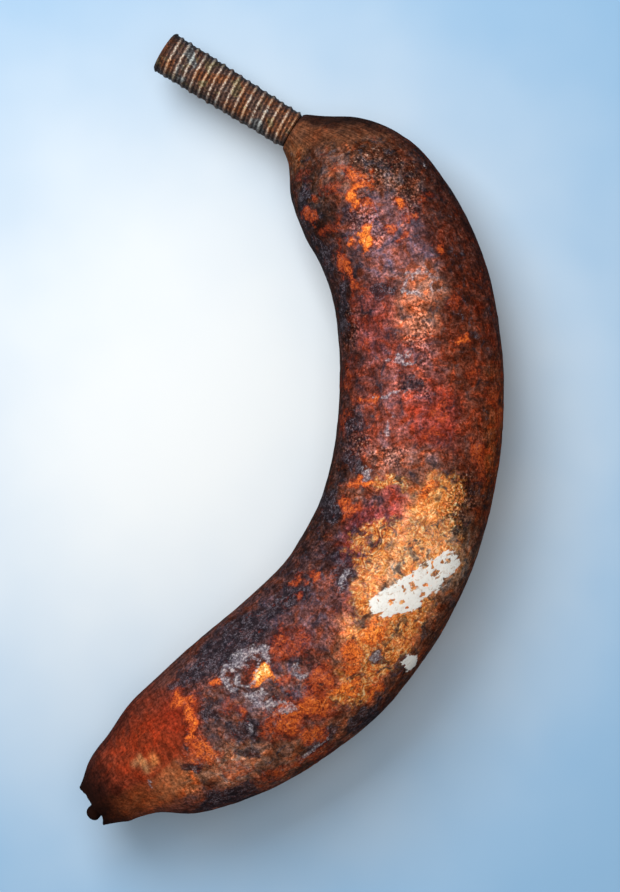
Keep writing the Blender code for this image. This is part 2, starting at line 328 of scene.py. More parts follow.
# Worn white paint: x, y and width of a brush mark, first at its start and then at its end.
STROKES = (
    (20.0, -39.8, 4.8, 25.6, -37.4, 6.8),
    (25.6, -37.4, 6.8, 31.2, -34.0, 7.0),
    (31.2, -34.0, 7.0, 35.8, -30.4, 5.0),
    (21.4, -42.0, 1.8, 28.6, -39.8, 2.2),
    (27.2, -53.4, 3.8, 29.6, -55.0, 3.2),
)
# Chips in the paint: x, y and width.
CHIPS = (
    (30.6, -53.2, 2.0),
    (27.6, -35.8, 1.7),
    (32.6, -33.0, 1.9),
    (22.4, -39.2, 1.3),
    (35.6, -30.0, 1.2),
    (29.8, -37.8, 1.3),
    (25.0, -39.4, 0.9),
    (30.2, -31.2, 1.5),
)


class BodySettings(PropertyGroup):
    length: FloatProperty(
        name="Length", description="Along the bent axis", default=198.6 * MM, min=0.05,
        unit="LENGTH",
    )
    width: FloatProperty(
        name="Width", description="Across the belly", default=40.2 * MM, min=0.01, unit="LENGTH"
    )
    neck_width: FloatProperty(
        name="Neck width", description="Of the neck's rim", default=9.4 * MM, unit="LENGTH"
    )
    tip_width: FloatProperty(
        name="Tip width", description="Of the blunt end's rim", default=11.4 * MM, unit="LENGTH"
    )
    socket_width: FloatProperty(
        name="Socket width", description="Of the neck's hole", default=7.8 * MM, unit="LENGTH"
    )
    socket_depth: FloatProperty(
        name="Socket depth", description="Of the neck's hole", default=14 * MM, unit="LENGTH"
    )
    stub_width: FloatProperty(
        name="Stub width", description="Of the flower's stub", default=3.2 * MM, unit="LENGTH"
    )
    stub_length: FloatProperty(
        name="Stub length", description="Past the rim's plane", default=3.6 * MM, unit="LENGTH"
    )
    stub_offset: FloatProperty(
        name="Stub offset", description="From the body's axis", default=0.8 * MM, unit="LENGTH"
    )
    relief: FloatProperty(
        name="Relief", description="Depth of the dents and scale", default=1, min=0, max=3,
        subtype="FACTOR",
    )
    paint: FloatVectorProperty(
        name="Paint", description="Colour of the worn paint", default=(0.93, 0.93, 0.89),
        subtype="COLOR", min=0, max=1,
    )


class StemSettings(PropertyGroup):
    length: FloatProperty(
        name="Length", description="From the neck's rim", default=35.4 * MM, unit="LENGTH"
    )
    width: FloatProperty(
        name="Width", description="Over the free end's crests", default=10.3 * MM, unit="LENGTH"
    )
    neck_width: FloatProperty(
        name="Neck width", description="Over the crests there", default=9.2 * MM, unit="LENGTH"
    )
    pitch: FloatProperty(
        name="Pitch", description="Of the thread", default=2.3 * MM, min=0.5 * MM, unit="LENGTH"
    )
    depth: FloatProperty(
        name="Depth", description="From crest to root", default=0.45 * MM, unit="LENGTH"
    )
    lead: FloatProperty(
        name="Lead", description="The free end's plain length", default=2.6 * MM, unit="LENGTH"
    )
    chamfer: FloatProperty(
        name="Chamfer", description="Of the free end", default=0.5 * MM, unit="LENGTH"
    )
    spigot_width: FloatProperty(
        name="Spigot width", description="In the socket", default=7.0 * MM, unit="LENGTH"
    )
    spigot_length: FloatProperty(
        name="Spigot length", description="In the socket", default=13.7 * MM, unit="LENGTH"
    )
    gap: FloatProperty(
        name="Gap", description="Round the spigot", default=0.3 * MM, unit="LENGTH"
    )


class StudioSettings(PropertyGroup):
    floor: FloatVectorProperty(
        name="Floor", description="Colour of the floor", default=(0.78, 0.81, 0.83),
        subtype="COLOR", min=0, max=1,
    )
    # The band's darker blue is partly a blue tint of the board and partly a painted falloff of
    # light towards the corners.
    edge: FloatVectorProperty(
        name="Edge", description="Colour of the band round it", default=(0.25, 0.44, 0.66),
        subtype="COLOR", min=0, max=1,
    )
    distance: FloatProperty(
        name="Camera distance", description="Above the floor", default=0.95, unit="LENGTH"
    )
    view_height: FloatProperty(
        name="View height", description="What the camera sees at the banana's middle",
        default=0.2052, unit="LENGTH",
    )


def in_mm(settings):
    """The settings as plain values, with their lengths in mm."""
    plain = SimpleNamespace()
    for name in settings.__annotations__:
        value = getattr(settings, name)
        is_length = settings.bl_rna.properties[name].unit == "LENGTH"
        setattr(plain, name, value / MM if is_length else value)
    return plain


def eased(shares, values, at):
    """The smooth curve through values at shares, a cubic with the slope of its neighbours."""
    shares, values = np.array(shares), np.array(values)
    slopes = np.gradient(values, shares)
    left = np.clip(np.searchsorted(shares, at, side="right") - 1, 0, len(shares) - 2)
    span = shares[left + 1] - shares[left]
    t = (at - shares[left]) / span
    start = (2 * t**3 - 3 * t**2 + 1) * values[left] + (t**3 - 2 * t**2 + t) * span * slopes[left]
    end = (3 * t**2 - 2 * t**3) * values[left + 1] + (t**3 - t**2) * span * slopes[left + 1]
    return start + end


def ramped(values, low, high):
    """0 at low and 1 at high, eased between."""
    t = np.clip((values - low) / (high - low), 0, 1)
    return t * t * (3 - 2 * t)


def lumps(points, size, seed):
    """Smooth noise from -1 to 1: random values on a cubic lattice of that size, eased between."""
    lattice = 64
    cell = points / size
    base = np.floor(cell).astype(int)
    t = cell - base
    t = t * t * (3 - 2 * t)
    values = np.random.default_rng(seed).uniform(-1, 1, (lattice,) * 3)
    total = np.zeros(points.shape[:-1])
    for corner in np.ndindex(2, 2, 2):
        index = (base + corner) % lattice
        weight = np.prod(np.where(corner, t, 1 - t), axis=-1)
        total += weight * values[index[..., 0], index[..., 1], index[..., 2]]
    return total


def ellipses(plan, patches):
    """The strongest soft ellipse at each point: 1 well inside, 1/2 at its edge, 0 outside."""
    field = np.zeros(plan.shape[:-1])
    for place in patches:
        field = np.maximum(field, ellipse(plan, *place))
    return field


def within(plan, x, y, length, width, turn):
    """How far each point is along and across an ellipse, in its half-length and half-width."""
    angle = math.radians(turn)
    east, north = plan[..., 0] - x, plan[..., 1] - y
    along = (east * math.cos(angle) + north * math.sin(angle)) / (length / 2)
    across = (north * math.cos(angle) - east * math.sin(angle)) / (width / 2)
    return along, across


def ellipse(plan, *place, reach=1):
    """One soft ellipse: 1.5 less the distance from its centre, held from 1 - reach to reach."""
    return np.clip(1.5 - np.hypot(*within(plan, *place)), 1 - reach, reach)


def blooms(plan):
    """The blooms' field, and their warmth: the mean of the table's, weighed by their fields."""
    field = np.zeros(plan.shape[:-1])
    weights = np.full(plan.shape[:-1], 1e-6)
    warmths = weights * 0.4
    for *place, warmth in BLOOMS:
        one = ellipse(plan, *place)
        field = np.maximum(field, one)
        weights += one**2
        warmths += one**2 * warmth
    return field, warmths / weights


def skin(plan):
    """The skin's colour: the mean of the table's, each weighed by a bell over its own ellipse."""
    weights = np.full(plan.shape[:-1], 0.06)
    colour = weights[..., None] * SKIN_BASE
    for *place, red, green, blue in SKIN:
        along, across = within(plan, *place)
        bell = np.exp(-1.6 * (along**2 + across**2))
        weights = weights + bell
        colour = colour + bell[..., None] * (red, green, blue)
    colour = colour / weights[..., None]
    return np.concatenate([colour, np.ones_like(colour[..., :1])], -1)


def rings(plan):
    """The strongest of the soft rings: 1 on its line, at 0.85 of its half-lengths, and 0 off it."""
    field = np.zeros(plan.shape[:-1])
    for place in RINGS:
        distance = 1.5 - ellipse(plan, *place, reach=9)
        field = np.maximum(field, 1 - 4.6 * np.abs(distance - 0.85))
    return field


def strokes(plan):
    """How deep a point lies inside a brush mark, in mm: below 0 outside it or in a chip."""
    depth = np.full(plan.shape[:-1], -9.0)
    for x1, y1, width1, x2, y2, width2 in STROKES:
        run = np.array([x2 - x1, y2 - y1])
        start = plan - (x1, y1)
        share = np.clip(start @ run / (run @ run), 0, 1)
        gap = np.linalg.norm(start - share[..., None] * run, axis=-1)
        depth = np.maximum(depth, (width1 + (width2 - width1) * share) / 2 - gap)
    for x, y, width in CHIPS:
        depth = np.minimum(depth, 1.4 * (np.linalg.norm(plan - (x, y), axis=-1) - width / 2))
    return depth


def axis_line(settings):
    """The body's axis in fine steps from the neck's rim: share of length, place and heading."""
    shares, headings, _ = zip(*STATIONS)
    fine = np.linspace(0, 1, 2240)
    heading = -np.radians(eased(shares, headings, fine))
    run = np.gradient(fine) * settings.length
    east = np.cumsum(np.cos(heading) * run)
    north = np.cumsum(np.sin(heading) * run)
    return fine, np.stack([east - east[0], north - north[0]], -1), heading


def laid_down(points):
    """Turns points into the banana's rest pose and puts the stem's end on its mount, in mm."""
    level = np.array([math.cos(LEAN_HEADING), math.sin(LEAN_HEADING), 0])
    cosine, sine = math.cos(LEAN), math.sin(LEAN)
    stem_heading = -math.radians(STATIONS[0][1])
    stem_length = bpy.context.scene.iron_banana_stem.length / MM
    stem_end = -stem_length * np.array([math.cos(stem_heading), math.sin(stem_heading), 0])

    def turned(p):
        lift = (p @ level)[..., None] * level * (1 - cosine)
        return p * cosine + np.cross(level, p) * sine + lift

    place = np.array(MOUNTS["threaded_stem_end"]["pos_m"]) / MM
    return turned(points) + place - turned(stem_end)


def closed_mesh(name, rings, fields, material):
    """A closed piece from rings of points (row, column, xyz) in mm, whose ends shrink to a pole.

    Quads join each ring to the next. fields holds a named value for each point of the rings.
    """
    rows, columns = rings.shape[:2]
    poles = np.stack([rings[0].mean(axis=0), rings[-1].mean(axis=0)])
    points = np.concatenate([rings.reshape(-1, 3), poles]) * MM
    corner = np.arange(rows * columns).reshape(rows, columns)
    after = np.roll(corner, -1, axis=1)
    quads = np.stack([corner[:-1], after[:-1], after[1:], corner[1:]], -1).reshape(-1, 4)
    first = np.stack([np.full(columns, len(points) - 2), after[0], corner[0]], -1)
    last = np.stack([np.full(columns, len(points) - 1), corner[-1], after[-1]], -1)
    mesh = bpy.data.meshes.new(name)
    mesh.from_pydata(points.tolist(), [], [*quads.tolist(), *first.tolist(), *last.tolist()])
    for field_name, values in fields.items():
        at_poles = values[[0, -1]].mean(axis=1).reshape(2, -1)
        values = np.concatenate([values.reshape(rows * columns, -1), at_poles])
        kind, part = ATTRIBUTE_KINDS[values.shape[1]]
        layer = mesh.attributes.new(field_name, kind, "POINT")
        layer.data.foreach_set(part, values.ravel().astype(np.float32))
    add_uv_map(mesh, rings)
    mesh.shade_smooth()
    mesh.materials.append(material)
    piece = bpy.data.objects.new(name, mesh)
    bpy.context.scene.collection.objects.link(piece)
    return piece


def add_uv_map(mesh, rings):
    """An unrolled map: u round the piece, v along it by the rings' own distance."""
    rows, columns = rings.shape[:2]
    step = np.linalg.norm(np.diff(rings, axis=0), axis=-1).mean(axis=1)
    height = 0.01 + 0.98 * np.concatenate([[0], np.cumsum(step)]) / step.sum()
    row, column = np.mgrid[: rows - 1, :columns]
    u = np.stack([column, column + 1, column + 1, column], -1) / columns
    v = np.stack([height[row], height[row], height[row + 1], height[row + 1]], -1)
    side = np.arange(columns) / columns
    width = np.full(columns, 1 / columns)
    first = np.stack([side + width / 2, side + width, side], -1)
    last = np.stack([side + width / 2, side, side + width], -1)
    u = np.concatenate([u.ravel(), first.ravel(), last.ravel()])
    first_v = np.tile([0, height[0], height[0]], columns)
    last_v = np.tile([1, height[-1], height[-1]], columns)
    v = np.concatenate([v.ravel(), first_v, last_v])
    layer = mesh.uv_layers.new(name="OFBake")
    layer.data.foreach_set("uv", np.stack([u, v], -1).ravel().astype(np.float32))


def body_rows(settings):
    """Each row of the body: share of its length, place and heading of its centre, and its radius.

    The rows run from the socket's bottom out to the neck's rim, along the body, over the
    blunt end's rim and bowl, and up the flower's stub.
    """
    fine, places, headings = axis_line(settings)
    shares, _, widths = zip(*STATIONS)
    belly = [share * settings.width for share in widths[1:-1]]
    even = np.linspace(0, 1, BODY_ROWS)
    along = 0.4 * even + 0.6 * (1 - np.cos(math.pi * even)) / 2
    radii = eased(shares, [settings.neck_width, *belly, settings.tip_width], along) / 2

    socket, rim = settings.socket_width / 2, settings.neck_width / 2
    mouth_depths = np.array([1, 1, 0.8, 0.5, 0.2, 0.04, 0.012, 0, 0]) * settings.socket_depth
    mouth_radii = np.array([0.3 * socket, *[socket] * 5, socket + 0.05, socket + 0.2, rim - 0.2])
    radii = np.where(along < 0.002, radii - 0.12 * (1 - along / 0.002), radii)

    tip, stub = settings.tip_width / 2, settings.stub_width / 2
    arc = np.radians(np.linspace(0, 84, 10))
    shaft = settings.stub_length - stub
    end_heights = [0.30, 0.45, 0.30, -0.10, -0.45, -0.60, -0.55, -0.30, 0.20]
    end_radii = [tip + 0.05, tip - 0.20, tip - 0.55, tip - 0.95, 3.9, 3.2, 2.6, 2.0, 1.65]
    end_heights = np.array([*end_heights, *(shaft + stub * np.sin(arc))])
    end_radii = np.array([*end_radii, *(stub * np.cos(arc))])

    first = np.array([math.cos(headings[0]), math.sin(headings[0])])
    final = np.array([math.cos(headings[-1]), math.sin(headings[-1])])
    body_places = np.stack([np.interp(along, fine, places[:, k]) for k in (0, 1)], -1)
    centres = np.concatenate(
        [mouth_depths[:, None] * first, body_places, places[-1] + end_heights[:, None] * final]
    )
    heading = np.concatenate(
        [
            np.full(MOUTH_ROWS, headings[0]),
            np.interp(along, fine, headings),
            np.full(END_ROWS, headings[-1]),
        ]
    )
    share = np.concatenate([np.full(MOUTH_ROWS, -0.01), along, np.full(END_ROWS, 1.01)])
    return share, centres, heading, np.concatenate([mouth_radii, radii, end_radii])


def body_surface(settings):
    """The rings of the body before its relief, with the share and the turn of each point.

    A point is its row's centre plus the radius times (outside of the bend x cos turn +
    up x sin turn). The radius has soft ridges, 1 + height x sin(5 turn). Nubs raise the
    blunt end's rim at each ridge, and the stub's rows move off the axis.
    """
    share, centres, heading, radius = body_rows(settings)
    turn = 2 * math.pi * np.arange(BODY_COLUMNS) / BODY_COLUMNS
    share, turn = share[:, None] + 0 * turn, turn + 0 * share[:, None]
    on_body = ramped(share, -0.001, 0.03) * (1 - ramped(share, 1.0, 1.01))
    wave = np.sin(RIDGES * turn)
    ring = radius[:, None] * (1 + RIDGE_HEIGHT * on_body * wave)

    rim = settings.tip_width / 2
    tip_centre = centres[MOUTH_ROWS + BODY_ROWS - 1]
    distance = np.linalg.norm(centres - tip_centre, axis=-1)[:, None]
    near = np.exp(-(distance**2) / 2) * ramped(radius, rim - 1.6, rim - 0.4)[:, None]
    near = near * (share > 0.5)
    tufts = 0.55 + 0.45 * np.sin(3 * turn + 1.1) * np.cos(2 * turn - 0.6)
    nub = near * tufts * np.maximum(wave, 0) ** 1.2
    notch = near * np.maximum(-wave, 0) ** 4 * 0.5
    ring = ring + 0.18 * nub - 0.30 * notch
    lower = np.maximum(np.cos(turn), 0) ** 2
    bulge = np.exp(-(((distance - 2.8) / 1.6) ** 2)) * (share > 0.5)
    ring = ring + lower * (0.45 * bulge - 1.15 * near)
    lift = 0.45 * nub - 0.45 * notch + 1.5 * lower * near
    shift = settings.stub_offset * (share > 1) * (1 - ramped(radius, 1.7, 4.5)[:, None])

    ahead = np.stack([np.cos(heading), np.sin(heading)], -1)[:, None]
    side = np.stack([-np.sin(heading), np.cos(heading)], -1)[:, None]
    out = (ring * np.cos(turn) + shift)[..., None]
    plan = centres[:, None] + side * out + ahead * lift[..., None]
    up = ring * np.sin(turn)
    return np.concatenate([plan, up[..., None]], -1), share, turn


def body_plan(points, share, turn, settings):
    """Where each point reads the tables: seen from above on the upper side.

    The lower side reads them from the other end of the body, so its rust is as rich.
    """
    fine, places, headings = axis_line(settings)
    far = np.clip(1 - share, 0, 1)
    centre = np.stack([np.interp(far, fine, places[:, k]) for k in (0, 1)], -1)
    heading = np.interp(far, fine, headings)
    reach = settings.width / 2 * 0.95 * np.cos(turn)
    east = centre[..., 0] - np.sin(heading) * reach
    north = centre[..., 1] + np.cos(heading) * reach
    under = laid_down(np.stack([east, north, 0 * east], -1))[..., :2]
    return np.where((np.sin(turn) > 0)[..., None], points[..., :2], under)


def body_fields(points, share, turn, settings):
    """The named values that the body's material mixes its finishes by, and the painted shade that
    darkens its sides as seen from above.
    """
    plan = body_plan(points, share, turn, settings)
    east = 1.7 * lumps(points, 3.2, 1) + 0.9 * lumps(points, 1.3, 2)
    north = 1.7 * lumps(points, 2.9, 3) + 0.9 * lumps(points, 1.2, 6)
    placed, plan = plan, plan + np.stack([east, north], -1)
    high = np.abs(np.sin(turn))
    seam = ramped(high, 0.03, 0.22)
    bloom, warmth = blooms(plan)
    half = settings.width / 2
    straight = [half * np.cos(turn), half * np.sin(turn), settings.length * share]
    straight = np.stack(straight, -1)
    x, y = points[..., 0], points[..., 1]
    neck = ramped(y - 63.0 - 0.17 * (x + 1.5) + 0.7 * lumps(points, 2.2, 4), -0.6, 0.6)
    tip = ramped(-24.5 - x + 0.5 * lumps(points, 1.6, 5), -0.5, 0.5)
    return {
        "bloom": bloom * seam,
        "warmth": warmth,
        "scale": ellipses(plan, SCALES) * seam,
        "flake": np.maximum(ellipses(plan, FLAKES), rings(plan)) * seam,
        "amber": ellipses(plan, AMBERS) * seam,
        "skin": skin(plan),
        "straight": straight,
        "grain": ellipses(plan, GRAINS) * seam,
        "paint": strokes(placed) - 9 * (1 - ramped(np.sin(turn), 0.12, 0.42)),
        "neck": neck * (share < 0.5),
        "tip": tip * (share > 0.5),
        "soot": ramped(share, 0.972, 1.002),
        # Painted shade: 1 on the sides as seen from above, where the colour is darkened, 0 on the
        # top and bottom.
        "flank_shade": 1 - ramped(high, 0.1, 0.8),
    }


def body_relief(points, share, fields):
    """How far the rust stands out of the skin, in mm: dents, lumps, scale, flakes and paint."""
    dents = 0.16 * lumps(points, 11.0, 11) + 0.07 * lumps(points, 4.2, 12)
    rough = 0.045 * lumps(points, 1.7, 13) + 0.03 * lumps(points, 0.95, 14)
    calm = 1 - 0.6 * np.maximum(fields["neck"], fields["tip"])
    raised = 0.14 * ramped(fields["flake"], 0.35, 0.65) + 0.12 * ramped(fields["bloom"], 0.3, 0.7)
    sunk = -0.12 * ramped(fields["scale"], 0.3, 0.7) * (0.5 + lumps(points, 2.0, 15))
    paint = 0.06 * ramped(fields["paint"], -0.1, 0.3)
    rough = rough * calm * (1 + fields["grain"] + fields["amber"])
    whole = dents - 0.10 + rough + raised + sunk + paint
    return whole * ramped(share, 0.0, 0.02) * (1 - 0.7 * ramped(share, 0.99, 1.0))


def stem_rows(settings):
    """Height from the neck's rim, root radius and thread height of each row of the stem."""
    root_neck = settings.neck_width / 2 - settings.depth
    root_free = settings.width / 2 - settings.depth
    thread_end = settings.length - settings.lead / 2
    count = round((thread_end - settings.gap) / settings.pitch * STEM_ROWS_PER_PITCH)
    height = np.linspace(settings.gap, thread_end + 0.4, count)
    share = (height - settings.gap) / (settings.length - settings.gap)
    root = root_neck + (root_free - root_neck) * share
    turns_in = (height - settings.gap) / settings.pitch
    turns_left = (thread_end + 0.4 - height) / settings.pitch
    thread = settings.depth * np.clip(np.minimum(3 * turns_in, 2 * turns_left), 0, 1)
    spigot = settings.spigot_width / 2
    lead, cut = root_free + settings.depth * 0.55, settings.chamfer
    buried = np.array([-1, -1, -0.7, -0.4, -0.1, -0.01]) * settings.spigot_length
    buried = [*buried, settings.gap - 0.02, settings.gap]
    bore = [0.3 * spigot, *[spigot] * 5, spigot, spigot + 0.3]
    ends = np.array([0.8, cut, 0.7 * cut, 0.35 * cut, 0.1 * cut, 0, 0, 0, 0])
    cone = [0, -0.02, -0.25 * cut, -0.6 * cut, -0.9 * cut, -1.2 * cut, -0.3 * lead, -0.5 * lead,
            -0.8 * lead]
    heights = np.concatenate([buried, height, settings.length - ends])
    roots = np.concatenate([bore, root, lead + np.array(cone)])
    threads = np.concatenate([np.zeros(len(buried)), thread, np.zeros(len(ends))])
    return heights, roots, threads


def stem_surface(settings):
    """The rings of the stem along its own axis, with how near each point is to a crest.

    The thread's height follows a wave of its helix: a rounded crest, (1/2 + 1/2 cos)
    to the power 1.5, and a low second ridge in the root, half a pitch away. Rust bites
    into the crests with smooth noise.
    """
    height, root, thread = stem_rows(settings)
    turn = 2 * math.pi * np.arange(STEM_COLUMNS) / STEM_COLUMNS
    phase = 2 * math.pi * height[:, None] / settings.pitch - turn
    crest = (0.5 + 0.5 * np.cos(phase)) ** 1.5
    second = 0.48 * (0.5 - 0.5 * np.cos(phase)) ** 3
    flat = 0 * phase
    plain = np.stack([5 * np.cos(turn) + flat, 5 * np.sin(turn) + flat, height[:, None] + flat], -1)
    bite = 0.12 * lumps(plain, 1.2, 21) + 0.07 * lumps(plain, 0.5, 22)
    bite = bite + 0.13 * lumps(plain, 3.5, 23)
    shown = ramped(height, 0.3, 0.8)[:, None] * ramped(root, 3.6, 4.4)[:, None]
    radius = root[:, None] + thread[:, None] * (crest + second) + bite * shown
    rings = np.stack([radius * np.cos(turn), radius * np.sin(turn), height[:, None] + flat], -1)
    threaded = (thread > 0.2)[:, None]
    high = np.where(threaded, np.clip(crest + 1.5 * second, 0, 1), 0.5)
    return rings, high


class Graph:
    """A material's nodes, added and linked one call at a time."""

    def __init__(self, name):
        self.material = bpy.data.materials.new(name)
        self.material.use_nodes = True
        self.tree = self.material.node_tree
        self.shader = self.tree.nodes["Principled BSDF"]
        place = self.put("ShaderNodeTexCoord").outputs["Object"]
        self.mm = self.scaled(place, 1 / MM)

    def put(self, kind, inputs=(), **settings):
        """A node of that kind, with its settings, and its inputs linked or set."""
        node = self.tree.nodes.new(kind)
        for key, value in settings.items():
            setattr(node, key, value)
        for key, value in dict(inputs).items():
            if isinstance(value, NodeSocket):
                self.tree.links.new(value, node.inputs[key])
            else:
                node.inputs[key].default_value = value
        return node

    def noise(self, size, detail=4.0, rough=0.6, warp=0.0, at=None):
        """Noise with features of that size in mm, spread over 0 to 1."""
        values = {"Vector": at or self.mm, "Scale": 1 / size, "Detail": detail,
                  "Roughness": rough, "Distortion": warp}
        raw = self.put("ShaderNodeTexNoise", values).outputs["Fac"]
        # The noise itself keeps between these two values.
        spread = {"Value": raw, "From Min": 0.27, "From Max": 0.73}
        return self.put("ShaderNodeMapRange", spread).outputs[0]

    def vector(self, operation, inputs, output=0):
        """A sum on one or two vectors, or on a vector and a value."""
        return self.put("ShaderNodeVectorMath", inputs, operation=operation).outputs[output]

    def scaled(self, colour, factor):
        """A colour or a place times a value."""
        return self.vector("SCALE", {0: colour, 3: factor})

    def shifted(self, move):
        """The place in mm, moved, so that a noise there doesn't repeat another."""
        return self.vector("ADD", {0: self.mm, 1: move})

    def stretched(self, stretch, place):
        """A place, scaled along each axis."""
        return self.vector("MULTIPLY", {0: place, 1: stretch})

    def field(self, name):
        """One of the piece's own named values."""
        return self.put("ShaderNodeAttribute", attribute_name=name).outputs["Fac"]

    def math(self, operation, a, b=0.0, c=0.0):
        """A sum on one, two or three values."""
        return self.put("ShaderNodeMath", {0: a, 1: b, 2: c}, operation=operation).outputs[0]

    def times(self, a, b):
        """Two values multiplied."""
        return self.math("MULTIPLY", a, b)

    def swayed(self, value, noise, amount):
        """A value moved up and down by a noise."""
        return self.math("MULTIPLY_ADD", self.math("SUBTRACT", noise, 0.5), amount, value)

    def step(self, value, low, high, start=0.0, end=1.0):
        """start below low and end above high, eased between."""
        inputs = {"Value": value, "From Min": low, "From Max": high, "To Min": start, "To Max": end}
        return self.put("ShaderNodeMapRange", inputs, interpolation_type="SMOOTHSTEP").outputs[0]

    def torn(self, field, noise, raggedness, softness=0.06):
        """A field's mask, cut at 1/2, with its edge torn by a noise."""
        moved = self.swayed(field, noise, raggedness)
        return self.step(moved, 0.5 - softness, 0.5 + softness)

    def mix(self, share, a, b, blend="MIX"):
        """Colour a changed by colour b, by that share."""
        inputs = {0: share, 6: a, 7: b}
        node = self.put("ShaderNodeMix", inputs, data_type="RGBA", blend_type=blend)
        return node.outputs[2]

    def ramp(self, value, *stops):
        """Colours (place, red, green, blue) along a value."""
        node = self.put("ShaderNodeValToRGB", {0: value})
        points = node.color_ramp.elements
        while len(points) < len(stops):
            points.new(0.5)
        for point, (place, *colour) in zip(points, stops):
            point.position = place
            point.color = (*colour, 1)
        return node.outputs["Color"]


def rust_layers(g):
    """The body's colour and height, from the deepest layer up."""
    broad = g.noise(3.6, 4, 0.6, 0.6)
    drift = g.noise(3.0, 5, 0.62, 0.8, at=g.shifted((40, 10, 70)))
    fine = g.noise(1.5, 4, 0.66, 1.0)
    spark = g.noise(0.85, 4, 0.7, 1.2, at=g.shifted((90, 14, 27)))
    grit = g.noise(0.62, 2, 0.7, 0.3, at=g.shifted((9, 31, 5)))
    curl = g.noise(2.3, 3, 0.6, 2.8, at=g.shifted((17, 3, 50)))
    strand = g.noise(1.3, 3, 0.6, 3.0, at=g.shifted((33, 70, 12)))
    tear = g.noise(1.7, 6, 0.72, 0.8, at=g.shifted((60, 22, 8)))
    smooth = g.math("MAXIMUM", g.field("neck"), g.field("tip"))
    wild = g.math("SUBTRACT", 1.0, smooth)

    skin = g.put("ShaderNodeAttribute", attribute_name="skin").outputs["Color"]
    straight = g.put("ShaderNodeAttribute", attribute_name="straight").outputs["Vector"]
    fibre = g.noise(0.8, 4, 0.65, 0.5, at=g.stretched((1, 1, 0.16), straight))
    hoop = g.noise(0.9, 4, 0.65, 0.6, at=g.stretched((0.2, 0.2, 1), straight))
    busy = g.math("MULTIPLY_ADD", wild, 0.60, 0.40)
    warm = g.times(g.step(drift, 0.45, 0.85), busy)
    warm = g.mix(warm, (1, 1, 1, 1), (1.45, 0.85, 0.50, 1))
    cool = g.times(g.step(drift, 0.50, 0.15), busy)
    cool = g.mix(cool, (1, 1, 1, 1), (0.62, 0.92, 1.30, 1))
    colour = g.mix(1.0, g.mix(1.0, skin, warm, "MULTIPLY"), cool, "MULTIPLY")
    colour = g.mix(busy, colour, g.scaled(colour, g.step(broad, 0.1, 0.9, 0.50, 1.50)))
    colour = g.mix(busy, colour, g.scaled(colour, g.step(fine, 0.05, 0.95, 0.52, 1.52)))
    colour = g.scaled(colour, g.step(hoop, 0.1, 0.9, 0.72, 1.28))
    # The fibres show most on the neck and on the sides that carry the painted shade.
    lines = g.math("MAXIMUM", g.field("flank_shade"), g.times(g.field("neck"), 0.7))
    lines = g.math("MULTIPLY_ADD", lines, 0.75, 0.25)
    colour = g.mix(lines, colour, g.scaled(colour, g.step(fibre, 0.15, 0.85, 0.45, 1.65)))
    colour = g.scaled(colour, g.step(grit, 0.1, 0.9, 0.62, 1.4))

    crack = g.math("ABSOLUTE", g.math("SUBTRACT", curl, 0.5))
    crack = g.step(crack, 0.015, 0.11, 1.0, 0.0)
    veins = g.times(crack, g.times(wild, g.step(drift, 0.2, 0.6, 0.25, 0.65)))
    colour = g.mix(veins, colour, g.scaled(colour, 0.18))

    amber = g.torn(g.field("amber"), tear, 0.9, 0.28)
    gold = g.ramp(
        curl,
        (0.08, 0.14, 0.022, 0.007), (0.28, 0.46, 0.090, 0.014), (0.46, 0.90, 0.26, 0.042),
        (0.64, 1.0, 0.46, 0.13), (0.90, 1.0, 0.80, 0.45),
    )
    gold = g.scaled(gold, g.step(spark, 0.1, 0.8, 0.40, 1.35))
    gold = g.scaled(gold, g.step(drift, 0.22, 0.45, 0.22, 1.0))
    colour = g.mix(g.times(amber, 0.62), colour, gold)

    grainy = g.torn(g.field("grain"), tear, 0.9, 0.3)
    grainy = g.math("MULTIPLY_ADD", g.times(g.step(broad, 0.5, 0.9), wild), 0.35, grainy)
    peppered = g.scaled(colour, g.step(grit, 0.25, 0.80, 0.15, 2.0))
    salted = g.mix(g.step(grit, 0.76, 0.98), peppered, (0.75, 0.50, 0.36, 1))
    colour = g.mix(g.times(grainy, 0.62), colour, salted)

    stray = g.times(g.step(drift, 0.40, 0.22), g.step(broad, 0.65, 0.35))
    scale = g.torn(g.field("scale"), tear, 0.9, 0.2)
    scale = g.math("MAXIMUM", scale, g.times(stray, g.times(wild, 0.65)))
    thread = g.math("ABSOLUTE", g.math("SUBTRACT", strand, 0.5))
    thread = g.times(g.step(thread, 0.02, 0.13, 1.0, 0.0), g.step(fine, 0.25, 0.75))
    charcoal = g.ramp(
        thread, (0.0, 0.012, 0.010, 0.014), (0.35, 0.042, 0.033, 0.042), (1.0, 0.20, 0.18, 0.22),
    )
    colour = g.mix(g.times(scale, 0.80), colour, charcoal)

    specks = g.step(g.noise(2.3, 4, 0.65, 0.5, at=g.shifted((5, 80, 33))), 0.66, 0.82)
    specks = g.times(specks, g.times(wild, g.step(grit, 0.2, 0.6)))
    field = g.field("bloom")
    bloom = g.torn(field, tear, 1.35, 0.34)
    bloom = g.math("MAXIMUM", bloom, g.times(specks, 0.8))
    flicker = g.math("ADD", g.times(fine, 0.3), g.times(spark, 0.7))
    warmth = g.swayed(g.field("warmth"), flicker, 0.9)
    warmth = g.math("MULTIPLY_ADD", g.math("SUBTRACT", field, 0.9), 0.40, warmth)
    fire = g.ramp(
        warmth,
        (0.00, 0.040, 0.008, 0.005), (0.20, 0.20, 0.024, 0.010), (0.40, 0.48, 0.075, 0.018),
        (0.62, 0.86, 0.19, 0.026), (0.85, 1.0, 0.42, 0.07), (1.0, 1.0, 0.82, 0.38),
    )
    fire = g.scaled(fire, g.step(spark, 0.1, 0.6, 0.40, 1.15))
    shown = g.times(bloom, g.step(g.field("warmth"), 0.15, 0.6, 0.50, 0.90))
    colour = g.mix(shown, colour, fire)

